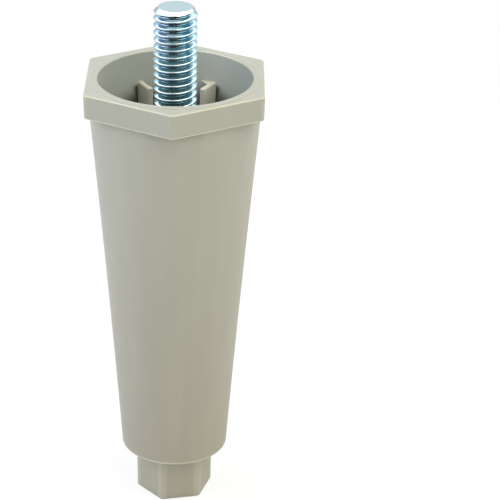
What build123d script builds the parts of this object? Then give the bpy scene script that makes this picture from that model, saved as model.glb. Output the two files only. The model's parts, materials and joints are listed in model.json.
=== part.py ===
from build123d import *
import os
from math import cos, radians, sin, sqrt, tan

# Plastic leg for the underside of a piece of equipment. A tapered hollow moulding with a hexagonal
# collar holds a steel stud at its top, and a hexagonal foot screws up into its lower end.
# Millimetres. The floor is z = 0, the leg's axis is Z, and one corner of the collar is on -Y.

# Heights, and how far the stud stands out
leg_height = 101.6  # floor to rim, with the foot screwed home
foot_height = 11.8  # the foot's hexagon, all of it below the body
collar_height = 5.55
stud_reach = 15.7  # stud tip above the rim

# Collar
collar_across_flats = 38.1  # at the top
collar_draft = 1.2  # degrees, narrower towards the foot
collar_corner_round = 1.3
collar_under_round = 0.2
collar_top_round = 0.3
collar_overhang = 0.22  # each flat beyond the body just below it
land_width = 1.7  # flat ring round the mouth that the equipment rests on
land_height = 0.1  # the ring above the collar's corners

# Body
body_base_radius = 12.0
body_waist = 0.22  # the side is drawn in this much at mid height
body_base_round = 0.35
wall = 2.5
mouth_edge_round = 0.25
pocket_floor_height = 38.0  # where the hollow ends above the floor

# Hub and ribs inside the body
hub_radius = 9.6
hub_draft = 0.25  # degrees
hub_depth = 12.5  # hub top below the rim
hub_edge_round = 0.4
rib_count = 6
rib_thickness = 1.3
rib_depth = 6.55  # rib tops below the rim
rib_inner_radius = 11.2  # free space round the stud, above the hub
rib_edge_round = 0.35

# Skin of plastic left in the corner between one rib and the wall, level with the rib's top
flash_rib = 1  # counted from the rib on +X
flash_reach = 1.6  # along the rib
flash_length = 2.9  # along the wall
flash_thickness = 0.4

# Stud: a hexagon-headed bolt, moulded in
stud_length = 44.45  # under the head
thread_radius = 4.675  # over the crests
thread_length = 25.4
thread_pitch = 1.5875
thread_depth = 0.935  # crest to root
thread_crest_width = 0.2
thread_flank_angle = 30  # degrees off square to the axis
tip_chamfer = 0.95
shank_radius = 4.25
head_across_flats = 14.3
head_height = 6.0
head_crown_angle = 30  # degrees

# Foot
foot_across_flats = 15.5  # at the top
foot_draft = 0.5  # degrees, narrower towards the sole
foot_corner_round = 1.0
foot_sole_round = 0.25
foot_top_round = 0.25
foot_turn = 42  # degrees from the collar's corners, where the screw stops
stem_radius = 6.0
stem_length = 28.0
stem_chamfer = 1.0

# Clearances, and how deep one form runs into the one that carries it
stem_clearance = 0.08
stem_end_gap = 1.5
bore_lead_in = 0.6
overlap = 1.0

# Levels and radii that follow from them
rim = leg_height
collar_base = rim - collar_height
body_base = foot_height
collar_block_height = collar_height - land_height
collar_inset = collar_block_height * tan(radians(collar_draft))
body_top_radius = collar_across_flats / 2 - collar_inset - collar_overhang
hub_top = rim - hub_depth
rib_top = rim - rib_depth
stud_tip = rim + stud_reach
head_top = stud_tip - stud_length


def body_radius(height):
    """Outside radius of the body. Inside the collar the same taper carries on to the rim."""
    share = (height - body_base) / (collar_base - body_base)
    taper = body_base_radius + share * (body_top_radius - body_base_radius)
    return taper - 4 * body_waist * share * (1 - share)


mouth_radius = body_radius(rim - mouth_edge_round) - wall
land_radius = mouth_radius + land_width


def side_line(inset, low, high):
    """The side of the body between two heights, set in from the outside by an amount."""
    heights = (low, (low + high) / 2, high)
    return Spline(*[(body_radius(z) - inset, z) for z in heights])


def turned(outline):
    """Solid of revolution about Z, from a closed outline drawn as (radius, height)."""
    return revolve(make_face(Plane.XZ * outline), Axis.Z)


def hexagon(across_flats):
    """Hexagon with a corner on -Y."""
    return RegularPolygon(across_flats / 2, 6, major_radius=False, rotation=30)


def drafted_hexagon(across_flats, corner_round, height, draft):
    """Hexagonal block on z = 0 with rounded corners, of the full size at its top."""
    base = hexagon(across_flats - 2 * height * tan(radians(draft)))
    return extrude(fillet(base.vertices(), corner_round), height, taper=-draft)


def lowest(shape):
    return shape.faces().sort_by(Axis.Z)[0]


def highest(shape):
    return shape.faces().sort_by(Axis.Z)[-1]


def body_outside():
    """The tapered round outside, from the foot's top to halfway up inside the collar."""
    top = collar_base + collar_height / 2
    outline = side_line(0, body_base, collar_base) + Polyline(
        (body_top_radius, collar_base),
        (body_top_radius, top),
        (0, top),
        (0, body_base),
        (body_base_radius, body_base),
    )
    half = make_face(Plane.XZ * outline)
    base_corner = half.vertices().sort_by_distance((body_base_radius, 0, body_base))[0]
    return revolve(fillet(base_corner, body_base_round), Axis.Z)


def collar():
    """Hexagonal collar with its rounded edges, and the low round land on top of it."""
    block = drafted_hexagon(collar_across_flats, collar_corner_round, collar_block_height, collar_draft)
    block = fillet(lowest(block).edges(), collar_under_round)
    block = fillet(highest(block).edges(), collar_top_round)
    land = extrude(Circle(land_radius), collar_height)
    return Pos(0, 0, collar_base) * (block + land)


def hollow():
    """The space inside the body, from the pockets' floor up and out over the mouth's rounded edge."""
    lip_base = rim - mouth_edge_round
    lip_radius = mouth_radius + mouth_edge_round
    outline = (
        side_line(wall, pocket_floor_height, lip_base)
        + CenterArc((lip_radius, lip_base), mouth_edge_round, 90, 90)
        + Polyline(
            (lip_radius, rim),
            (lip_radius, rim + overlap),
            (0, rim + overlap),
            (0, pocket_floor_height),
            (body_radius(pocket_floor_height) - wall, pocket_floor_height),
        )
    )
    return turned(outline)


def hub():
    """The boss that holds the stud, wider towards the foot by its draft."""
    base = pocket_floor_height - overlap
    base_radius = hub_radius + (hub_top - base) * tan(radians(hub_draft))
    outline = Polyline((0, base), (base_radius, base), (hub_radius, hub_top), (0, hub_top), close=True)
    solid = turned(outline)
    return fillet(highest(solid).edges(), hub_edge_round)


def rib():
    """The rib on +X. It joins hub and wall, and above the hub its inner end stands clear of the stud."""
    low = pocket_floor_height - overlap
    inner = hub_radius - overlap
    outline = side_line(wall / 2, low, rib_top) + Polyline(
        (body_radius(rib_top) - wall / 2, rib_top),
        (rib_inner_radius, rib_top),
        (rib_inner_radius, hub_top),
        (inner, hub_top),
        (inner, low),
        (body_radius(low) - wall / 2, low),
    )
    plate = extrude(make_face(Plane.XZ * outline), rib_thickness / 2, both=True)
    free_end = plate.faces().filter_by(Axis.X).sort_by(Axis.Z)[-1]
    free_edges = free_end.edges().filter_by(Axis.Y, reverse=True) + highest(plate).edges()
    free_edges = [edge for edge in free_edges if edge.center().X < mouth_radius]
    return fillet(free_edges, min(rib_edge_round, rib_thickness / 3))


def ribs():
    """All the ribs, one towards each flat of the collar."""
    return [place * rib() for place in PolarLocations(0, rib_count)]


def flash():
    """The skin beside one rib: widest at the rib, and running out along the wall."""
    inner_wall = body_radius(rib_top) - wall
    buried = inner_wall + wall / 2
    end = flash_length / inner_wall
    outline = Polyline(
        (buried, 0),
        (inner_wall - flash_reach, 0),
        (inner_wall - flash_reach, rib_thickness / 2),
        (inner_wall * cos(end), inner_wall * sin(end)),
        (buried * cos(end), buried * sin(end)),
        close=True,
    )
    skin = extrude(make_face(outline), -flash_thickness)
    low_in_rib_round = Pos(0, 0, rib_top - flash_thickness / 4)
    return Rot(0, 0, flash_rib * 360 / rib_count) * low_in_rib_round * skin


def stem_bore():
    """The blind hole that takes the foot's stem, with a lead-in at its mouth."""
    radius = stem_radius + stem_clearance
    top = body_base + stem_length + stem_end_gap
    outline = Polyline(
        (0, body_base - overlap),
        (radius + bore_lead_in, body_base - overlap),
        (radius + bore_lead_in, body_base),
        (radius, body_base + bore_lead_in),
        (radius, top - stem_chamfer),
        (radius - stem_chamfer, top),
        (0, top),
        close=True,
    )
    return turned(outline)


def thread_grooves(low, high):
    """Rings of the thread's section, one at each turn, between the lowest crest and the highest."""
    mouth = thread_pitch - thread_crest_width
    floor = mouth - 2 * thread_depth * tan(radians(thread_flank_angle))
    turns = int((high - low - thread_crest_width) / thread_pitch)
    outline = Polyline(
        (thread_radius - thread_depth, -floor / 2),
        (thread_radius, -mouth / 2),
        (thread_radius + overlap, -mouth / 2),
        (thread_radius + overlap, mouth / 2),
        (thread_radius, mouth / 2),
        (thread_radius - thread_depth, floor / 2),
        close=True,
    )
    groove = turned(outline)
    first = high - thread_crest_width - mouth / 2
    return [Pos(0, 0, first - turn * thread_pitch) * groove for turn in range(turns)]


def threaded_stud():
    """Bolt with its head down. Its thread is rings of the true section, and its shank is thinner."""
    thread_base = stud_tip - thread_length
    lowest_crest = thread_base + thread_radius - shank_radius
    highest_crest = stud_tip - tip_chamfer
    shank = turned(
        Polyline(
            (0, head_top - overlap),
            (shank_radius, head_top - overlap),
            (shank_radius, thread_base),
            (thread_radius, lowest_crest),
            (thread_radius, highest_crest),
            (thread_radius - tip_chamfer, stud_tip),
            (0, stud_tip),
            close=True,
        )
    )
    shank -= thread_grooves(lowest_crest, highest_crest)
    low = head_top - head_height
    flat = head_across_flats / 2
    corner = head_across_flats / sqrt(3) + overlap
    crown = turned(
        Polyline(
            (0, low),
            (flat, low),
            (corner, low + (corner - flat) * tan(radians(head_crown_angle))),
            (corner, head_top),
            (0, head_top),
            close=True,
        )
    )
    head = Pos(0, 0, low) * extrude(hexagon(head_across_flats), head_height) & crown
    return shank + head


def leg_body():
    """The one moulding that everything else fits into."""
    shell = body_outside() + collar() - hollow()
    return shell + hub() + ribs() + flash() - stem_bore() - threaded_stud()


def adjusting_foot():
    """Hexagonal foot and its stem in one piece. The stem's plain outside is its thread's crests."""
    block = drafted_hexagon(foot_across_flats, foot_corner_round, foot_height, foot_draft)
    block = fillet(lowest(block).edges(), foot_sole_round)
    block = fillet(highest(block).edges(), foot_top_round)
    top = foot_height + stem_length
    stem = turned(
        Polyline(
            (0, foot_height - overlap),
            (stem_radius, foot_height - overlap),
            (stem_radius, top - stem_chamfer),
            (stem_radius - stem_chamfer, top),
            (0, top),
            close=True,
        )
    )
    return Rot(0, 0, foot_turn) * (block + stem)


os.makedirs("parts", exist_ok=True)
nodes = {
    "leg_body": leg_body(),
    "threaded_stud": threaded_stud(),
    "adjusting_foot": adjusting_foot(),
}
for name, shape in nodes.items():
    shape.label = name
    export_step(shape, f"parts/{name}.step")
    box = shape.bounding_box()
    heights = f"{box.min.Z:.2f} to {box.max.Z:.2f}"
    print(name, "solids", len(shape.solids()), "volume", round(shape.volume, 1), "z", heights)
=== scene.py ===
import json
import math

import bmesh
import bpy
from mathutils import Matrix, Vector

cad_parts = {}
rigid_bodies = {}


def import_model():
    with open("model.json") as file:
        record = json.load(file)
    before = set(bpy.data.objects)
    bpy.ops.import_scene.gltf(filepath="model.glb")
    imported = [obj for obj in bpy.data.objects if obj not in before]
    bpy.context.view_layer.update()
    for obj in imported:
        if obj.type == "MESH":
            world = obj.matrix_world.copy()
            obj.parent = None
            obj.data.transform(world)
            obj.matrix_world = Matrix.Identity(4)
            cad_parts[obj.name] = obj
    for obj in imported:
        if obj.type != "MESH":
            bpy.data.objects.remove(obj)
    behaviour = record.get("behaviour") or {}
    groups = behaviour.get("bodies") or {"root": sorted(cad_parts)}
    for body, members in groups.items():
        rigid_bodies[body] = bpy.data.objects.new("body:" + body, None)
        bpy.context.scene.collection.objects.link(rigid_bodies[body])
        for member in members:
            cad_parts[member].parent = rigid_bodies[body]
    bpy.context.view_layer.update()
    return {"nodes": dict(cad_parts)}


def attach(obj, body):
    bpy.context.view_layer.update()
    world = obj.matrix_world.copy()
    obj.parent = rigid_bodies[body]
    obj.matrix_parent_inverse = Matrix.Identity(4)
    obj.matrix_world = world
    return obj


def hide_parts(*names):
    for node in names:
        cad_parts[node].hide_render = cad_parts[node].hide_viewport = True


# Plastic equipment leg: grey-beige moulding, zinc-plated stud and screw-out foot, on a white studio floor.
# Sizes of the leg are millimetres, and MM turns them into the scene's metres.
MM = 0.001

# Stud
STUD_TIP = 117.3
STUD_THREAD_BASE = 91.9
STUD_CREST = 4.675
STUD_ROOT = 3.74
STUD_SHANK = 4.25
STUD_PITCH = 1.5875
STUD_CREST_WIDTH = 0.22
STUD_CREST_ROUND = 0.13
STUD_ROOT_ROUND = 0.32
STUD_RUN_OUT = 1.6  # turns from the plain shank to the full thread
STUD_TIP_CHAMFER = 0.95
STUD_CREST_LEVEL = 112.51  # height of one crest on the +X side
STUD_THREAD_OVERLAP = 0.3  # the threaded length starts this far down inside the shank
STUD_THREAD_INSET = 0.02  # and this far under its surface
SHANK_BEVEL = 0.15
SHANK_IN_HEAD = 1.0
HEAD_TOP = 72.85
HEAD_HEIGHT = 6.0
HEAD_ACROSS_FLATS = 14.3
HEAD_CORNER_ROUND = 0.25
HEAD_LOWER_ROUND = 0.5
HEAD_UPPER_ROUND = 0.05

# Foot
FOOT_ACROSS_FLATS = 15.5  # at its top
FOOT_DRAFT = 0.5  # degrees, narrower towards the sole
FOOT_HEIGHT = 11.8
FOOT_CORNER_ROUND = 1.0
FOOT_SOLE_ROUND = 0.25
FOOT_TOP_ROUND = 0.25
FOOT_TURN = 42.0  # degrees from the collar's corners
STEM_TOP = 39.8
STEM_CREST = 6.0
STEM_ROOT = 4.95
STEM_PITCH = 2.0
STEM_CREST_WIDTH = 0.25
STEM_CREST_ROUND = 0.2
STEM_ROOT_ROUND = 0.3
STEM_RUN_OUT = 1.5  # turns
STEM_CHAMFER = 1.0
STEM_NECK = 5.7  # radius where the thread starts
STEM_IN_FOOT = 1.0

# How finely the round pieces are divided
STUD_ROWS = 28  # for each turn of the thread
STEM_ROWS = 14
THREAD_COLUMNS = 96
SHANK_POINTS = 72
THREAD_HALF_ANGLE = 30.0  # degrees, of both threads' grooves
SMOOTH_ANGLE = 34.0  # degrees, above which an edge looks sharp
WELD = 0.001  # points of a thread nearer than this become one

# Leg body, for where its surface changes
RIM = 101.6
COLLAR_TOP = 101.5
COLLAR_BASE = 96.05
BODY_BASE = 11.8
BODY_TAPER = 0.08  # radius gained for each unit of height
MOUTH_RADIUS = 16.75
WALL_MARGIN = 0.15  # surface nearer to the axis than the wall's line plus this is inside
WALL_FADE = 0.1  # width of the change from outside to inside
RIB_TOP = 95.05
RIB_COUNT = 6
RIB_HALF = 0.65  # half a rib's thickness
TOPS_RADIUS = 16.0  # radius just short of the wall, where the painted highlight on the ribs' tops stops
TOPS_DEPTH = 0.5  # how far down the ribs' sides the painted highlight on their tops goes
OVER_LAND = 18.6  # radius just beyond the ring round the mouth
OVER_BODY = 18.8  # radius inside the collar's flats and outside the body
IN_CORNER = 21.62  # radius just inside the collar's rounded corners
OUTSIDE = 25.0  # radius beyond the whole leg
ON_BASE_EDGE = (11.3, 13.0)  # radii either side of the body's lower edge
ON_FOOT_CORNER = (8.5, 10.0)  # radii either side of the foot's corners

# Painted shade in the leg's hollow: depths below the ribs' tops, and distances from a rib's middle
SHADE_DEPTH = 0.2  # where the shade starts
BESIDE_DEPTH = 1.3  # where it is full, close beside a rib
BESIDE_FAR = 2.6
BESIDE_NEAR = 0.9
BETWEEN_DEPTH = 5.0  # where it is full, out between two ribs
BETWEEN_FAR = 7.0
BETWEEN_NEAR = 1.0
BETWEEN_LEAST = 0.35  # share of the shade at the far distance
SHADE_STRENGTH = 0.93

# Painted highlights, pale lines where light catches the plastic's edges: lowest and highest level, least and
# greatest radius, fade in radius, and strength
LEG_EDGE_HIGHLIGHTS = (
    (RIM - 0.2, RIM - 0.14, MOUTH_RADIUS - 0.1, MOUTH_RADIUS + 0.2, 0.02, 0.9),  # mouth
    (COLLAR_TOP - 0.26, COLLAR_TOP - 0.1, OVER_LAND, OUTSIDE, 0.02, 0.85),  # collar's upper edge
    (COLLAR_BASE, COLLAR_BASE + 0.24, OVER_BODY, OUTSIDE, 0.02, 0.7),  # collar's lower edge
    (COLLAR_BASE, COLLAR_TOP - 0.1, IN_CORNER, OUTSIDE, 0.25, 0.1),  # collar's corners
    (BODY_BASE, BODY_BASE + 0.5, *ON_BASE_EDGE, 0.02, 0.45),  # body's lower edge
)
FOOT_EDGE_HIGHLIGHTS = ((0.1, FOOT_HEIGHT, *ON_FOOT_CORNER, 0.35, 0.2),)
HIGHLIGHT_FADE = 0.06  # in height
EDGE_WIDTH = 0.45
EDGE_COSINES = (0.995, 0.86)  # between the rounded normal and the true one, from no pale edge to a full one: wear, and painted highlight
EDGE_STRENGTH = 0.7

# Painted shade under the collar and round the foot's sole, made patchy: the level where it starts, where it
# is thickest, and where it stops
LEG_UNDER_COLLAR_SHADE = (93.5, COLLAR_BASE, COLLAR_BASE + 0.05)
FOOT_SOLE_SHADE = (1.2, 0.0, 2.0)
CONTACT_SHADE_STRENGTH = 0.3

# Texture of the plastic: scales are cells in each metre, and heights are millimetres
CLOUD_SCALE = 38
CLOUD_STRENGTH = 0.18
FLOW_SCALE = 260
FLOW_STRETCH = (1, 1, 0.05)
FLOW_STRENGTH = 0.06
# patches of that painted shade
CONTACT_SHADE_SCALE = 420
WEAR_SCALE = 700
POLISH_SCALE = 90
WAVE_SCALE = 45
WAVE_STRETCH = (1, 1, 0.4)
WAVE_HEIGHT = 0.1
GRAIN_SCALE = 3200
GRAIN_HEIGHT = 0.03
SCRATCH_SCALE = 900
SCRATCH_STRETCH = (1, 1, 0.08)
SCRATCH_HEIGHT = 0.02

# Texture of the zinc plate, in the same units
PATCH_SCALE = 330
HAZE_SCALE = 1500
HAZE_STRENGTH = 0.35
ROLLED_SCALE = 9000
ROLLED_STRETCH = 0.03  # metres of the pattern for each turn
ROLLED_HEIGHT = 0.01
DENT_SCALE = 900
DENT_HEIGHT = 0.03

# Where the zinc's colour changes, in radius and in depth below the tip
ROOT_REACH = 0.45  # painted shade this far out from the root
ROOT_DARK_START = 6.0  # the painted shade is faint down to here, and darkest at the rim, low in the leg's mouth
CREST_REACH = 0.2  # wear and painted highlight this far in from the crest
BEVEL_TOP = 0.15
END_DEPTH = 0.12

# Colours of the plastic
LEG_UPPER = (0.412, 0.413, 0.360, 1)
# darker and warmer towards the bottom: painted shade
LEG_LOWER_SHADED = (0.322, 0.300, 0.240, 1)
LEG_HOLLOW = (0.452, 0.474, 0.434, 1)
# pale flow lines, and pale edges that are partly wear and partly painted highlight
LEG_WORN_AND_LIT = (0.68, 0.66, 0.50, 1)
LEG_ROUGHNESS = 0.46
FOOT_UPPER = (0.370, 0.358, 0.295, 1)
FOOT_LOWER = (0.366, 0.350, 0.280, 1)
FOOT_WORN_AND_LIT = (0.66, 0.64, 0.54, 1)
FOOT_ROUGHNESS = 0.50
# painted shade in the hollow's deep corners
PAINTED_CORNER_SHADE = (0.025, 0.022, 0.016, 1)
# painted light on the ribs' faces and tops
PAINTED_RIB_LIGHT = (0.60, 0.585, 0.49, 1)
DARK_SPECK = (0.16, 0.15, 0.12, 1)
PALE_SPECK = (0.72, 0.72, 0.64, 1)
# Cells in each metre, share of the cells with a speck, strength and colour
SPECKS = (
    (420, 0.04, 0.22, DARK_SPECK),
    (300, 0.03, 0.35, PALE_SPECK),
)
SPECK_SIZE = 0.05  # of a cell
PLASTIC_IOR = 1.5

# Colours of the zinc plate
ZINC_DEEP = (0.47, 0.69, 0.80, 1)
ZINC_PALE = (0.56, 0.76, 0.85, 1)
ZINC_HAZE = (0.72, 0.82, 0.86, 1)
# painted shade in the thread's roots
ZINC_ROOT_SHADE = (0.07, 0.24, 0.31, 1)
# crests: wear, and painted highlight
ZINC_CREST_WORN_AND_LIT = (0.76, 0.79, 0.76, 1)
ZINC_BEVEL = (0.55, 0.63, 0.62, 1)
ZINC_END = (0.72, 0.86, 0.87, 1)
ZINC_AT_A_GLANCE = (0.60, 0.65, 0.72, 1)  # tint of what it reflects at a flat angle

# Studio, in metres
WHITE = (1, 1, 1, 1)
FLOOR_LEVEL = -0.00005
FLOOR_HALF_WIDTH = 3
FLOOR_LIT = (0.8, 0.8, 0.79, 1)  # what lights the leg
FLOOR_SEEN = (0.97, 0.97, 0.97, 1)  # what shows the shadow
FLOOR_GLOW = (0.8, 1.0)  # share of plain white near the leg, and far from it
SHADOW_FADE = (0.1, 0.4)  # distances between which the shadow fades out
WORLD_STRENGTH = 0.275
LAMP_AIM = (0, 0, 0.07)
# Name, place, watts, width, height and colour
LAMPS = (
    ("overhead", (0.0, -0.25, 0.95), 3.5, 2.0, 0.6, (1, 1, 1)),
    ("left_box", (-0.95, -0.10, 0.35), 7.5, 1.1, 1.1, (0.86, 0.91, 1.0)),
    ("front_right_box", (0.5, -0.5, 0.8), 7.5, 1.1, 1.1, (1.0, 0.95, 0.78)),
    ("back_right_box", (0.5, 0.35, 0.8), 3.0, 0.9, 0.9, (1.0, 0.96, 0.74)),
    ("back_left_box", (-0.5, 0.35, 0.8), 4.3, 0.9, 0.9, (0.70, 0.80, 1.0)),
)

# Room that only reflections see, in metres and degrees
ROOM_FLOOR_START = 0.17
ROOM_HEIGHT = 0.9
ROOM_LIFT = 0.001  # above the floor
ROOM_SWEEP = 130  # to each side of the front
ROOM_STEP = 5
CEILING_HEIGHT = 1.3
CEILING_RIGHT_HALF = ((0.4, -0.1), (0.9, 0.7), (1.3, 1.9))
DARK_FRONT_LEFT = 5  # the middle of the dark front is this far to the left
DARK_FRONT_END = (26, 48)  # angles from that middle between which it fades out
WHITE_BACK_START = (95, 125)
WALL_BLEND = 20  # to each side of the front, from the left's colour to the right's
CEILING_BLEND = 150
ROOM_FRONT = (0.03, 0.015, 0.02, 1)
ROOM_LEFT = (0.36, 0.30, 0.38, 1)
ROOM_RIGHT = (0.10, 0.28, 0.34, 1)
ROOM_BACK = (0.9, 0.95, 1, 1)
CEILING_LEFT = (0.47, 0.62, 0.72, 1)
CEILING_RIGHT = (0.38, 0.57, 0.64, 1)

# Camera, fitted to the photograph: angles in degrees, places in metres, sensor and lens in millimetres
CAMERA_AZIMUTH = 1.4540  # to the right of the collar's front corner
CAMERA_PITCH = 26.0706
CAMERA_ROLL = 0.1524
CAMERA_BACK = 0.398902
CAMERA_HEIGHT = 0.255585
CAMERA_SENSOR = 36
CAMERA_LENS = 143.765
CAMERA_SHIFT = 0.15028
CAMERA_CLIP = (0.01, 20)

# Node helpers


def add_node(tree, kind, **settings):
    made = tree.nodes.new(kind)
    for name, value in settings.items():
        setattr(made, name, value)
    return made


def feed(tree, socket, value):
    """Links a socket, or sets a constant on it."""
    if isinstance(value, bpy.types.NodeSocket):
        tree.links.new(value, socket)
    else:
        socket.default_value = value


def calc(tree, operation, *values, clamp=False):
    made = add_node(tree, "ShaderNodeMath", operation=operation, use_clamp=clamp)
    for socket, value in zip(made.inputs, values):
        feed(tree, socket, value)
    return made.outputs[0]


def product(tree, first, *others):
    for other in others:
        first = calc(tree, "MULTIPLY", first, other)
    return first


def blend_colours(tree, share, first, second):
    made = add_node(tree, "ShaderNodeMix", data_type="RGBA")
    feed(tree, made.inputs["Factor"], share)
    feed(tree, made.inputs[6], first)
    feed(tree, made.inputs[7], second)
    return made.outputs[2]


def darker(colour, share):
    return (*[part * share for part in colour[:3]], 1)


def remap(tree, value, low, high, to_low=0.0, to_high=1.0, kind="SMOOTHSTEP"):
    made = add_node(tree, "ShaderNodeMapRange", interpolation_type=kind)
    for name, number in zip(("From Min", "From Max", "To Min", "To Max"), (low, high, to_low, to_high)):
        made.inputs[name].default_value = number
    feed(tree, made.inputs["Value"], value)
    return made.outputs["Result"]


def around(tree, value, low, high, fade):
    """1 between two values, and 0 beyond them by the fade."""
    return product(tree, remap(tree, value, low - fade, low), remap(tree, value, high + fade, high))


def noise(tree, place, scale, detail=2.0, stretch=(1, 1, 1)):
    moved = add_node(tree, "ShaderNodeMapping")
    moved.inputs["Scale"].default_value = stretch
    feed(tree, moved.inputs["Vector"], place)
    made = add_node(tree, "ShaderNodeTexNoise")
    made.inputs["Scale"].default_value = scale
    made.inputs["Detail"].default_value = detail
    tree.links.new(moved.outputs[0], made.inputs["Vector"])
    return made.outputs["Fac"]


def bump(tree, height, strength, distance, under=None):
    made = add_node(tree, "ShaderNodeBump")
    made.inputs["Strength"].default_value = strength
    made.inputs["Distance"].default_value = distance
    feed(tree, made.inputs["Height"], height)
    if under is not None:
        feed(tree, made.inputs["Normal"], under)
    return made.outputs["Normal"]


def split(tree, vector):
    made = add_node(tree, "ShaderNodeSeparateXYZ")
    tree.links.new(vector, made.inputs[0])
    return made.outputs


def distance_from_axis(tree, x, y):
    return calc(tree, "SQRT", calc(tree, "ADD", product(tree, x, x), product(tree, y, y)))


def new_material(name):
    """A material with one Principled shader. Returns it, its tree, the shader and the object coordinates."""
    made = bpy.data.materials.new(name)
    made.use_nodes = True
    tree = made.node_tree
    shader = tree.nodes["Principled BSDF"]
    place = add_node(tree, "ShaderNodeTexCoord").outputs["Object"]
    return made, tree, shader, place


def bare_material(name):
    """A material with only its output, for the stage. Returns it, its tree and the output's socket."""
    made = bpy.data.materials.new(name)
    made.use_nodes = True
    tree = made.node_tree
    tree.nodes.remove(tree.nodes["Principled BSDF"])
    return made, tree, tree.nodes["Material Output"].inputs[0]


# Materials of the leg


def edge_mask(tree, width):
    """1 on edges and corners, 0 on open surface: how far a rounded normal leaves the true one."""
    rounded = add_node(tree, "ShaderNodeBevel", samples=6)
    rounded.inputs["Radius"].default_value = width
    true = add_node(tree, "ShaderNodeNewGeometry").outputs["Normal"]
    made = add_node(tree, "ShaderNodeVectorMath", operation="DOT_PRODUCT")
    tree.links.new(rounded.outputs[0], made.inputs[0])
    tree.links.new(true, made.inputs[1])
    return remap(tree, made.outputs["Value"], *EDGE_COSINES)


def specks(tree, place, cells, size, share):
    """Small round specks, one in some of the cells."""
    made = add_node(tree, "ShaderNodeTexVoronoi")
    made.inputs["Scale"].default_value = cells
    feed(tree, made.inputs["Vector"], place)
    near = remap(tree, made.outputs["Distance"], size, size * 0.5)
    chosen = add_node(tree, "ShaderNodeSeparateColor")
    tree.links.new(made.outputs["Color"], chosen.inputs[0])
    return product(tree, near, calc(tree, "LESS_THAN", chosen.outputs[0], share))


def colour_inside(tree, x, y, level, colour, hollow):
    """The leg's hollow: lighter, cooler walls, painted shade low beside the ribs and out between them, and
    ribs painted pale as painted light.
    """
    radius = distance_from_axis(tree, x, y)
    wall_at_floor = (MOUTH_RADIUS + WALL_MARGIN - RIM * BODY_TAPER) * MM
    wall = calc(tree, "MULTIPLY_ADD", level, BODY_TAPER, wall_at_floor)
    inside = remap(tree, calc(tree, "SUBTRACT", wall, radius), 0.0, WALL_FADE * MM)
    colour = blend_colours(tree, inside, colour, hollow)

    rib_angle = 2 * math.pi / RIB_COUNT
    sector = calc(tree, "DIVIDE", calc(tree, "ARCTAN2", y, x), rib_angle)
    off_rib = calc(tree, "ABSOLUTE", calc(tree, "SUBTRACT", sector, calc(tree, "ROUND", sector)))
    off_rib = product(tree, off_rib, rib_angle, radius)

    # Painted shade, low beside each rib and out between the ribs
    shade_start = (RIB_TOP - SHADE_DEPTH) * MM
    low_beside = remap(tree, level, shade_start, (RIB_TOP - BESIDE_DEPTH) * MM)
    beside = product(tree, remap(tree, off_rib, BESIDE_FAR * MM, BESIDE_NEAR * MM), low_beside)
    low_between = remap(tree, level, shade_start, (RIB_TOP - BETWEEN_DEPTH) * MM)
    between = remap(tree, off_rib, BETWEEN_FAR * MM, BETWEEN_NEAR * MM, BETWEEN_LEAST, 1.0)
    between = product(tree, between, low_between)
    off_face = remap(tree, off_rib, (RIB_HALF + 0.02) * MM, (RIB_HALF + 0.15) * MM)
    corner = product(tree, calc(tree, "MAXIMUM", beside, between), off_face)
    colour = blend_colours(tree, product(tree, inside, corner, SHADE_STRENGTH), colour, PAINTED_CORNER_SHADE)

    # Painted light: the ribs' faces paler as if lit, and a painted highlight along their tops
    below_top = remap(tree, level, (RIB_TOP + 0.1) * MM, (RIB_TOP + 0.02) * MM)
    on_face = remap(tree, off_rib, (RIB_HALF + 0.07) * MM, (RIB_HALF + 0.02) * MM)
    on_rib = product(tree, inside, below_top, on_face)
    tops = around(tree, level, (RIB_TOP - TOPS_DEPTH) * MM, (RIB_TOP + 0.05) * MM, 0.05 * MM)
    tops = product(tree, tops, remap(tree, radius, (TOPS_RADIUS + 0.08) * MM, TOPS_RADIUS * MM))
    return blend_colours(tree, calc(tree, "MAXIMUM", on_rib, tops), colour, PAINTED_RIB_LIGHT)


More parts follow.
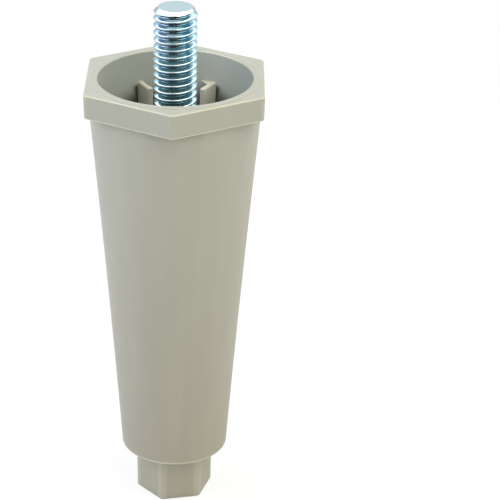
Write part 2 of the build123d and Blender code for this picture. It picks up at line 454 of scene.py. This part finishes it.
def plastic(name, upper, lower, hollow, pale_colour, roughness, contact_shade, edge_highlights):
    """Moulded plastic: faint clouds, flow lines down the draw, specks, paler edges and a fine satin grain.

    Its colour goes from lower to upper up the leg, darker towards the bottom as painted shade, and inside
    the leg it is hollow, or the same for None. The paler edges are partly wear and partly painted highlight,
    and patchy painted shade lies under the collar and round the foot's sole.
    """
    made, tree, shader, place = new_material(name)
    x, y, level = split(tree, place)
    radius = distance_from_axis(tree, x, y)

    # Darker towards the bottom: painted shade
    height = remap(tree, level, 0.0, RIM * MM, kind="LINEAR")
    colour = blend_colours(tree, height, lower, upper)
    cloud = remap(tree, noise(tree, place, CLOUD_SCALE), 0.3, 0.7, 0, CLOUD_STRENGTH, "LINEAR")
    shaded = blend_colours(tree, 0.5, colour, darker(lower, 0.86))
    colour = blend_colours(tree, cloud, colour, shaded)
    lines = noise(tree, place, FLOW_SCALE, stretch=FLOW_STRETCH)
    flow = remap(tree, lines, 0.45, 0.8, 0, FLOW_STRENGTH, "LINEAR")
    colour = blend_colours(tree, flow, colour, pale_colour)

    # Patchy painted shade under the collar and round the foot's sole
    clean, thickest, stop = contact_shade
    patches = remap(tree, noise(tree, place, CONTACT_SHADE_SCALE, 4), 0.3, 0.7, 0.5, 1.0)
    short_of = calc(tree, "LESS_THAN", level, stop * MM)
    gathered = remap(tree, level, clean * MM, thickest * MM)
    under_shade = product(tree, gathered, patches, short_of, CONTACT_SHADE_STRENGTH)
    colour = blend_colours(tree, under_shade, colour, darker(lower, 0.7))

    if hollow is not None:
        colour = colour_inside(tree, x, y, level, colour, hollow)

    for cells, share, strength, speck in SPECKS:
        spotted = product(tree, specks(tree, place, cells, SPECK_SIZE, share), strength)
        colour = blend_colours(tree, spotted, colour, speck)

    # Paler edges: partly wear, and partly painted highlights where light catches them
    edges = edge_mask(tree, EDGE_WIDTH * MM)
    worn_through = remap(tree, noise(tree, place, WEAR_SCALE, 3), 0.35, 0.65, 0.6, 1.0)
    pale_edge = product(tree, edges, EDGE_STRENGTH, worn_through)
    for low, high, least, most, fade, strength in edge_highlights:
        lined = around(tree, level, low * MM, high * MM, HIGHLIGHT_FADE * MM)
        within = around(tree, radius, least * MM, most * MM, fade * MM)
        pale_edge = calc(tree, "MAXIMUM", pale_edge, product(tree, lined, within, strength))
    colour = blend_colours(tree, pale_edge, colour, pale_colour)
    tree.links.new(colour, shader.inputs["Base Color"])

    polish = noise(tree, place, POLISH_SCALE, 4, WAVE_STRETCH)
    gloss = remap(tree, polish, 0.3, 0.7, roughness - 0.03, roughness + 0.04)
    gloss = calc(tree, "SUBTRACT", gloss, product(tree, edges, 0.08))
    tree.links.new(gloss, shader.inputs["Roughness"])
    shader.inputs["IOR"].default_value = PLASTIC_IOR

    slow = bump(tree, noise(tree, place, WAVE_SCALE, 1, WAVE_STRETCH), 0.06, WAVE_HEIGHT * MM)
    grain = bump(tree, noise(tree, place, GRAIN_SCALE), 0.10, GRAIN_HEIGHT * MM, slow)
    scratch = remap(tree, noise(tree, place, SCRATCH_SCALE, stretch=SCRATCH_STRETCH), 0.6, 0.75)
    tree.links.new(bump(tree, scratch, 0.08, SCRATCH_HEIGHT * MM, grain), shader.inputs["Normal"])
    return made


def zinc():
    """Bright zinc plate: blue-white, faintly patchy, with rolling marks along the thread, crests paler with
    wear and painted highlight, and roots painted dark as shade and rougher, darkest low in the leg's mouth.
    """
    made, tree, shader, place = new_material("zinc_plate")
    x, y, z = split(tree, place)
    radius = distance_from_axis(tree, x, y)
    turn = calc(tree, "DIVIDE", calc(tree, "ARCTAN2", y, x), 2 * math.pi)
    along = calc(tree, "SUBTRACT", z, product(tree, turn, STUD_PITCH * MM))
    lane = add_node(tree, "ShaderNodeCombineXYZ")
    tree.links.new(product(tree, turn, ROLLED_STRETCH), lane.inputs[0])
    tree.links.new(along, lane.inputs[1])
    tree.links.new(radius, lane.inputs[2])

    patchy = remap(tree, noise(tree, place, PATCH_SCALE), 0.35, 0.65)
    colour = blend_colours(tree, patchy, ZINC_DEEP, ZINC_PALE)
    haze = noise(tree, place, HAZE_SCALE, 3)
    colour = blend_colours(tree, remap(tree, haze, 0.5, 0.75, 0, HAZE_STRENGTH), colour, ZINC_HAZE)
    # Painted shade in the roots, darker low down in the leg's mouth
    root = remap(tree, radius, (STUD_ROOT + ROOT_REACH) * MM, (STUD_ROOT + 0.02) * MM)
    lower_down = remap(tree, z, (STUD_TIP - ROOT_DARK_START) * MM, RIM * MM, 0.1, 0.7)
    colour = blend_colours(tree, product(tree, root, lower_down), colour, ZINC_ROOT_SHADE)
    # Crests paler: wear, and painted highlight
    crest = remap(tree, radius, (STUD_CREST - CREST_REACH) * MM, (STUD_CREST - 0.05) * MM)
    colour = blend_colours(tree, product(tree, crest, 0.5), colour, ZINC_CREST_WORN_AND_LIT)
    bevel_base = (STUD_TIP - STUD_TIP_CHAMFER) * MM
    bevel = around(tree, z, bevel_base, (STUD_TIP - BEVEL_TOP) * MM, 0.1 * MM)
    colour = blend_colours(tree, product(tree, bevel, 0.95), colour, ZINC_BEVEL)
    end = remap(tree, z, (STUD_TIP - END_DEPTH) * MM, (STUD_TIP - 0.04) * MM)
    colour = blend_colours(tree, product(tree, end, 0.9), colour, ZINC_END)
    tree.links.new(colour, shader.inputs["Base Color"])
    shader.inputs["Metallic"].default_value = 1.0
    shader.inputs["Specular Tint"].default_value = ZINC_AT_A_GLANCE

    gloss = remap(tree, haze, 0.3, 0.7, 0.09, 0.16)
    gloss = calc(tree, "ADD", gloss, product(tree, calc(tree, "MAXIMUM", root, end), 0.06))
    tree.links.new(gloss, shader.inputs["Roughness"])

    rolled = bump(tree, noise(tree, lane.outputs[0], ROLLED_SCALE), 0.08, ROLLED_HEIGHT * MM)
    dents = bump(tree, noise(tree, place, DENT_SCALE, 1), 0.06, DENT_HEIGHT * MM, rolled)
    tree.links.new(dents, shader.inputs["Normal"])
    return made


# Threads: one geometry tree for the stud's thread and the foot's


def rolled_thread_tree():
    """A closed screw surface. Its rows follow the helix, so every crest and root is a clean line."""
    tree = bpy.data.node_groups.new("rolled_thread", "GeometryNodeTree")
    section = ("Crest Radius", "Root Radius", "Pitch", "Crest Width", "Crest Round", "Root Round")
    levels = ("Crest Level", "Lower End", "Upper End", "Chamfer", "Start Radius", "Run In")
    for name in (*section, *levels, "First Row", "Row Step"):
        tree.interface.new_socket(name, in_out="INPUT", socket_type="NodeSocketFloat")
    for name in ("Rows", "Columns"):
        tree.interface.new_socket(name, in_out="INPUT", socket_type="NodeSocketInt")
    tree.interface.new_socket("Material", in_out="INPUT", socket_type="NodeSocketMaterial")
    tree.interface.new_socket("Geometry", in_out="OUTPUT", socket_type="NodeSocketGeometry")
    given = add_node(tree, "NodeGroupInput").outputs

    grid = add_node(tree, "GeometryNodeMeshGrid")
    grid.inputs["Size X"].default_value = 1
    grid.inputs["Size Y"].default_value = 1
    tree.links.new(given["Columns"], grid.inputs["Vertices X"])
    tree.links.new(given["Rows"], grid.inputs["Vertices Y"])
    flat = split(tree, add_node(tree, "GeometryNodeInputPosition").outputs[0])
    turn = calc(tree, "ADD", flat["X"], 0.5)
    last = calc(tree, "SUBTRACT", given["Rows"], 1)
    row = calc(tree, "ROUND", product(tree, calc(tree, "ADD", flat["Y"], 0.5), last))

    rise = product(tree, turn, given["Pitch"])
    start = calc(tree, "MULTIPLY_ADD", row, given["Row Step"], given["First Row"])
    high = calc(tree, "MINIMUM", calc(tree, "ADD", start, rise), given["Upper End"])
    level = calc(tree, "MAXIMUM", high, given["Lower End"])

    phase = calc(tree, "SUBTRACT", calc(tree, "SUBTRACT", level, given["Crest Level"]), rise)
    phase = calc(tree, "DIVIDE", phase, given["Pitch"])
    away = calc(tree, "ABSOLUTE", calc(tree, "SUBTRACT", phase, calc(tree, "ROUND", phase)))
    half_crest = calc(tree, "DIVIDE", given["Crest Width"], 2)
    beyond = calc(tree, "SUBTRACT", product(tree, away, given["Pitch"]), half_crest)
    drop = calc(tree, "DIVIDE", beyond, math.tan(math.radians(THREAD_HALF_ANGLE)))
    flank = calc(tree, "SUBTRACT", given["Crest Radius"], drop)
    topped = calc(tree, "SMOOTH_MIN", flank, given["Crest Radius"], given["Crest Round"])
    profile = calc(tree, "SMOOTH_MAX", topped, given["Root Radius"], given["Root Round"])

    formed = calc(tree, "SUBTRACT", level, given["Lower End"])
    formed = calc(tree, "DIVIDE", formed, given["Run In"], clamp=True)
    rough = calc(tree, "SUBTRACT", profile, given["Start Radius"])
    profile = calc(tree, "MULTIPLY_ADD", rough, formed, given["Start Radius"])
    tip = calc(tree, "SUBTRACT", given["Crest Radius"], given["Chamfer"])
    cone = calc(tree, "ADD", tip, calc(tree, "SUBTRACT", given["Upper End"], level))
    profile = calc(tree, "MINIMUM", profile, cone)
    first_pole = calc(tree, "LESS_THAN", row, 0.5)
    last_pole = calc(tree, "GREATER_THAN", row, calc(tree, "SUBTRACT", last, 0.5))
    open_row = calc(tree, "SUBTRACT", 1, calc(tree, "ADD", first_pole, last_pole))
    radius = product(tree, profile, open_row)

    angle = product(tree, turn, 2 * math.pi)
    place = add_node(tree, "ShaderNodeCombineXYZ")
    tree.links.new(product(tree, radius, calc(tree, "COSINE", angle)), place.inputs[0])
    tree.links.new(product(tree, radius, calc(tree, "SINE", angle)), place.inputs[1])
    tree.links.new(level, place.inputs[2])
    bent = add_node(tree, "GeometryNodeSetPosition")
    tree.links.new(grid.outputs["Mesh"], bent.inputs["Geometry"])
    tree.links.new(place.outputs[0], bent.inputs["Position"])
    joined = add_node(tree, "GeometryNodeMergeByDistance")
    joined.inputs["Distance"].default_value = WELD * MM
    tree.links.new(bent.outputs[0], joined.inputs["Geometry"])
    real = add_node(tree, "GeometryNodeRealizeInstances")
    tree.links.new(joined.outputs[0], real.inputs[0])
    finish = add_node(tree, "GeometryNodeSetMaterial")
    tree.links.new(real.outputs[0], finish.inputs["Geometry"])
    tree.links.new(given["Material"], finish.inputs["Material"])
    tree.links.new(finish.outputs[0], add_node(tree, "NodeGroupOutput").inputs[0])
    return tree


def screw_mesh(name, tree, material, rows_per_turn, sizes):
    """Mesh of one thread, from the tree and sizes in millimetres."""
    step = sizes["Pitch"] / rows_per_turn
    below = sizes["Lower End"] - sizes["Pitch"] - step
    first = sizes["Crest Level"] + math.floor((below - sizes["Crest Level"]) / step) * step
    rows = math.ceil((sizes["Upper End"] - first) / step) + 2
    lengths = {**sizes, "First Row": first, "Row Step": step}
    given = {socket: length * MM for socket, length in lengths.items()}
    given.update({"Rows": rows, "Columns": THREAD_COLUMNS + 1, "Material": material})

    holder = bpy.data.objects.new(name, bpy.data.meshes.new(name))
    bpy.context.collection.objects.link(holder)
    modifier = holder.modifiers.new("thread", "NODES")
    modifier.node_group = tree
    for item in tree.interface.items_tree:
        if item.in_out == "INPUT":
            modifier[item.identifier] = given[item.name]
    bpy.context.view_layer.update()
    seen = holder.evaluated_get(bpy.context.evaluated_depsgraph_get())
    mesh = bpy.data.meshes.new_from_object(seen)
    holder.modifiers.clear()
    bpy.data.objects.remove(holder)
    return mesh


# Meshes


def hexagon_ring(across_flats, corner_round, inset, level, turn, steps=8):
    """Points round a hexagon with rounded corners, drawn in by an amount. At turn 0 a corner is on -Y."""
    points = []
    reach = (across_flats - 2 * corner_round) / math.sqrt(3)
    radius = max(corner_round - inset, 0.01)
    for corner in range(6):
        middle = math.radians(turn - 90 + 60 * corner)
        for step in range(steps + 1):
            angle = middle + math.radians(-30 + 60 * step / steps)
            x = reach * math.cos(middle) + radius * math.cos(angle)
            y = reach * math.sin(middle) + radius * math.sin(angle)
            points.append(Vector((x, y, level)) * MM)
    return points


def circle_ring(radius, level):
    """Points round the shank, starting where hexagon_ring starts at turn 0."""
    points = []
    for step in range(SHANK_POINTS):
        angle = math.radians(-120 + 360 * step / SHANK_POINTS)
        points.append(Vector((radius * math.cos(angle), radius * math.sin(angle), level)) * MM)
    return points


def skin(work, rings):
    """Closed surface over rings of equal count, from the lowest to the highest."""
    made = [[work.verts.new(point) for point in ring] for ring in rings]
    for low, high in zip(made, made[1:]):
        for here in range(len(low)):
            after = (here + 1) % len(low)
            work.faces.new((low[here], low[after], high[after], high[here]))
    work.faces.new(reversed(made[0]))
    work.faces.new(made[-1])


def rounded_levels(low, high, low_round, high_round, steps=5):
    """(inset, level) pairs up a side with a rounded edge at each end."""
    angles = [math.radians(90 * step / steps) for step in range(steps + 1)]
    pairs = []
    for angle in angles:
        pairs.append((low_round * (1 - math.sin(angle)), low + low_round * (1 - math.cos(angle))))
    for angle in angles:
        pairs.append((high_round * (1 - math.cos(angle)), high - high_round * (1 - math.sin(angle))))
    return pairs


def make_piece(name, work, material, body, slot, *nodes):
    """Object at the origin from a bmesh, smooth where its angles are small, riding on its body."""
    mesh = bpy.data.meshes.new(name)
    work.to_mesh(mesh)
    work.free()
    for face in mesh.polygons:
        face.use_smooth = True
        face.material_index = 0
    mesh.set_sharp_from_angle(angle=math.radians(SMOOTH_ANGLE))
    mesh.materials.clear()
    mesh.materials.append(material)
    made = bpy.data.objects.new(name, mesh)
    bpy.context.collection.objects.link(made)
    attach(made, body)
    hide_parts(*nodes)


def stud(tree, material):
    """The bolt: rolled thread, plain shank, and the hexagon head inside the hub."""
    sizes = {
        "Crest Radius": STUD_CREST,
        "Root Radius": STUD_ROOT,
        "Pitch": STUD_PITCH,
        "Crest Width": STUD_CREST_WIDTH,
        "Crest Round": STUD_CREST_ROUND,
        "Root Round": STUD_ROOT_ROUND,
        "Crest Level": STUD_CREST_LEVEL,
        "Lower End": STUD_THREAD_BASE - STUD_THREAD_OVERLAP,
        "Upper End": STUD_TIP,
        "Chamfer": STUD_TIP_CHAMFER,
        "Start Radius": STUD_SHANK - STUD_THREAD_INSET,
        "Run In": STUD_RUN_OUT * STUD_PITCH,
    }
    work = bmesh.new()
    work.from_mesh(screw_mesh("stud_thread", tree, material, STUD_ROWS, sizes))
    lower = circle_ring(STUD_SHANK, HEAD_TOP - SHANK_IN_HEAD)
    upper = circle_ring(STUD_SHANK, STUD_THREAD_BASE - SHANK_BEVEL)
    skin(work, [lower, upper, circle_ring(STUD_SHANK - SHANK_BEVEL, STUD_THREAD_BASE)])
    rings = []
    for inset, level in rounded_levels(HEAD_TOP - HEAD_HEIGHT, HEAD_TOP, HEAD_LOWER_ROUND, HEAD_UPPER_ROUND):
        rings.append(hexagon_ring(HEAD_ACROSS_FLATS, HEAD_CORNER_ROUND, inset, level, 0))
    skin(work, rings)
    make_piece("threaded_stud_plated", work, material, "leg", "zinc_plated_steel", "threaded_stud")


def foot(tree, material):
    """The hexagonal foot and the threaded stem that screws up into the body."""
    sizes = {
        "Crest Radius": STEM_CREST,
        "Root Radius": STEM_ROOT,
        "Pitch": STEM_PITCH,
        "Crest Width": STEM_CREST_WIDTH,
        "Crest Round": STEM_CREST_ROUND,
        "Root Round": STEM_ROOT_ROUND,
        "Crest Level": FOOT_HEIGHT,
        "Lower End": FOOT_HEIGHT - STEM_IN_FOOT,
        "Upper End": STEM_TOP,
        "Chamfer": STEM_CHAMFER,
        "Start Radius": STEM_NECK,
        "Run In": STEM_RUN_OUT * STEM_PITCH,
    }
    work = bmesh.new()
    work.from_mesh(screw_mesh("stem_thread", tree, material, STEM_ROWS, sizes))
    slope = math.tan(math.radians(FOOT_DRAFT))
    base = FOOT_ACROSS_FLATS - 2 * FOOT_HEIGHT * slope
    rings = []
    for inset, level in rounded_levels(0, FOOT_HEIGHT, FOOT_SOLE_ROUND, FOOT_TOP_ROUND):
        rings.append(hexagon_ring(base, FOOT_CORNER_ROUND, inset - level * slope, level, FOOT_TURN))
    skin(work, rings)
    make_piece("adjusting_foot_moulded", work, material, "foot", "foot_plastic", "adjusting_foot")


# Studio


def stage_piece(name, work, material):
    mesh = bpy.data.meshes.new(name)
    work.to_mesh(mesh)
    work.free()
    mesh.materials.append(material)
    made = bpy.data.objects.new(name, mesh)
    bpy.context.collection.objects.link(made)
    return made


def clear_path(tree, shader_seen, shader_lit):
    """One shader for what the camera and reflections see, another for what lights the object."""
    path = add_node(tree, "ShaderNodeLightPath").outputs
    seen = calc(tree, "MAXIMUM", path["Is Camera Ray"], path["Is Glossy Ray"])
    seen = calc(tree, "MAXIMUM", seen, path["Is Transmission Ray"])
    made = add_node(tree, "ShaderNodeMixShader")
    tree.links.new(seen, made.inputs[0])
    tree.links.new(shader_lit, made.inputs[1])
    tree.links.new(shader_seen, made.inputs[2])
    return made.outputs[0]


def white_floor():
    """Floor that looks white, lights the object as pale paper does, and keeps a soft shadow near it."""
    material, tree, output = bare_material("floor_paper")
    paper = add_node(tree, "ShaderNodeBsdfDiffuse")
    paper.inputs["Color"].default_value = FLOOR_LIT
    bright = add_node(tree, "ShaderNodeBsdfDiffuse")
    bright.inputs["Color"].default_value = FLOOR_SEEN
    white = add_node(tree, "ShaderNodeEmission")
    white.inputs["Color"].default_value = WHITE
    x, y, _ = split(tree, add_node(tree, "ShaderNodeTexCoord").outputs["Object"])
    seen = add_node(tree, "ShaderNodeMixShader")
    glow = remap(tree, distance_from_axis(tree, x, y), *SHADOW_FADE, *FLOOR_GLOW)
    tree.links.new(glow, seen.inputs[0])
    tree.links.new(bright.outputs[0], seen.inputs[1])
    tree.links.new(white.outputs[0], seen.inputs[2])
    tree.links.new(clear_path(tree, seen.outputs[0], paper.outputs[0]), output)
    work = bmesh.new()
    bmesh.ops.create_grid(work, x_segments=1, y_segments=1, size=FLOOR_HALF_WIDTH)
    for vertex in work.verts:
        vertex.co.z = FLOOR_LEVEL
    # The floor goes down with the foot, so the leg stands on it however far the foot is screwed out.
    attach(stage_piece("floor", work, material), "foot")


def white_world():
    """Looks plain white, and lights the leg more weakly."""
    world = bpy.data.worlds.new("studio")
    bpy.context.scene.world = world
    world.use_nodes = True
    tree = world.node_tree
    dim = tree.nodes["Background"]
    dim.inputs["Color"].default_value = WHITE
    dim.inputs["Strength"].default_value = WORLD_STRENGTH
    white = add_node(tree, "ShaderNodeBackground")
    white.inputs["Color"].default_value = WHITE
    mixed = clear_path(tree, white.outputs[0], dim.outputs[0])
    tree.links.new(mixed, tree.nodes["World Output"].inputs[0])


def soft_box(name, place, power, wide, tall, colour):
    """A rectangular soft light that faces the leg."""
    light = bpy.data.lights.new(name, "AREA")
    light.shape = "RECTANGLE"
    light.size = wide
    light.size_y = tall
    light.energy = power
    light.color = colour
    made = bpy.data.objects.new(name, light)
    bpy.context.collection.objects.link(made)
    made.location = place
    made.rotation_euler = (Vector(LAMP_AIM) - Vector(place)).to_track_quat("-Z", "Y").to_euler()


def glow_by_angle(name, paint):
    """A glowing material for the room. paint works out its colour from the azimuth, 0 in front."""
    material, tree, output = bare_material(name)
    x, y, _ = split(tree, add_node(tree, "ShaderNodeTexCoord").outputs["Object"])
    azimuth = calc(tree, "ARCTAN2", x, product(tree, y, -1))
    glow = add_node(tree, "ShaderNodeEmission")
    tree.links.new(paint(tree, azimuth), glow.inputs["Color"])
    tree.links.new(glow.outputs[0], output)
    return material


def wall_colour(tree, azimuth):
    """Dark in front, lavender on the left, teal on the right, white beyond."""
    off = calc(tree, "ABSOLUTE", calc(tree, "ADD", azimuth, math.radians(DARK_FRONT_LEFT)))
    on_right = remap(tree, azimuth, math.radians(-WALL_BLEND), math.radians(WALL_BLEND))
    side = blend_colours(tree, on_right, ROOM_LEFT, ROOM_RIGHT)
    behind = remap(tree, off, *map(math.radians, WHITE_BACK_START))
    side = blend_colours(tree, behind, side, ROOM_BACK)
    off_front = remap(tree, off, *map(math.radians, DARK_FRONT_END))
    return blend_colours(tree, off_front, ROOM_FRONT, side)


def ceiling_colour(tree, azimuth):
    on_right = remap(tree, azimuth, math.radians(-CEILING_BLEND), math.radians(CEILING_BLEND))
    return blend_colours(tree, on_right, CEILING_LEFT, CEILING_RIGHT)


def reflected_room():
    """Walls and a ceiling panel round the set. Only reflections see them."""
    walls = bmesh.new()
    columns = []
    for degrees in range(-ROOM_SWEEP, ROOM_SWEEP + 1, ROOM_STEP):
        angle = math.radians(degrees)
        away = Vector((math.sin(angle), -math.cos(angle), 0))
        points = (away * ROOM_FLOOR_START, away, away + Vector((0, 0, ROOM_HEIGHT)))
        columns.append([walls.verts.new(point) for point in points])
    for first, second in zip(columns, columns[1:]):
        for low in range(2):
            walls.faces.new((first[low], second[low], second[low + 1], first[low + 1]))
    for vertex in walls.verts:
        vertex.co.z += ROOM_LIFT
    ceiling = bmesh.new()
    left_half = [(-x, y) for x, y in reversed(CEILING_RIGHT_HALF)]
    corners = [(x, y, CEILING_HEIGHT) for x, y in (*CEILING_RIGHT_HALF, *left_half)]
    ceiling.faces.new([ceiling.verts.new(corner) for corner in corners])
    parts = (("room_walls", walls, wall_colour), ("room_ceiling", ceiling, ceiling_colour))
    for name, work, paint in parts:
        made = stage_piece(name, work, glow_by_angle(name, paint))
        made.visible_camera = False
        made.visible_diffuse = False
        made.visible_transmission = False
        made.visible_shadow = False


def camera():
    """Long lens, 26 degrees down, a little to the right of the front corner."""
    azimuth, pitch, roll = map(math.radians, (CAMERA_AZIMUTH, CAMERA_PITCH, CAMERA_ROLL))
    ahead_x = -math.sin(azimuth) * math.cos(pitch)
    ahead_y = math.cos(azimuth) * math.cos(pitch)
    forward = Vector((ahead_x, ahead_y, -math.sin(pitch)))
    level = Vector((math.cos(azimuth), math.sin(azimuth), 0))
    upright = level.cross(forward)
    right = level * math.cos(roll) + upright * math.sin(roll)
    up = upright * math.cos(roll) - level * math.sin(roll)
    data = bpy.data.cameras.new("camera")
    data.sensor_width = CAMERA_SENSOR
    data.lens = CAMERA_LENS
    data.shift_x = CAMERA_SHIFT
    data.clip_start, data.clip_end = CAMERA_CLIP
    made = bpy.data.objects.new("camera", data)
    bpy.context.collection.objects.link(made)
    place = (CAMERA_BACK * math.sin(azimuth), -CAMERA_BACK * math.cos(azimuth), CAMERA_HEIGHT)
    turned = Matrix((right, up, -forward)).transposed()
    made.matrix_world = Matrix.Translation(place) @ turned.to_4x4()
    bpy.context.scene.camera = made


# The scene

for old in list(bpy.data.objects):
    bpy.data.objects.remove(old)
bpy.context.scene.view_settings.view_transform = "Standard"
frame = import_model()

leg_plastic = plastic(
    "leg_plastic_satin", LEG_UPPER, LEG_LOWER_SHADED, LEG_HOLLOW, LEG_WORN_AND_LIT, LEG_ROUGHNESS, LEG_UNDER_COLLAR_SHADE, LEG_EDGE_HIGHLIGHTS
)
foot_plastic = plastic(
    "foot_plastic_satin", FOOT_UPPER, FOOT_LOWER, None, FOOT_WORN_AND_LIT, FOOT_ROUGHNESS, FOOT_SOLE_SHADE, FOOT_EDGE_HIGHLIGHTS
)
for material_slot in frame["nodes"]["leg_body"].material_slots:
    material_slot.material = leg_plastic
threads = rolled_thread_tree()
stud(threads, zinc())
foot(threads, foot_plastic)

white_floor()
white_world()
for lamp in LAMPS:
    soft_box(*lamp)
reflected_room()
camera()

bpy.context.view_layer.update()
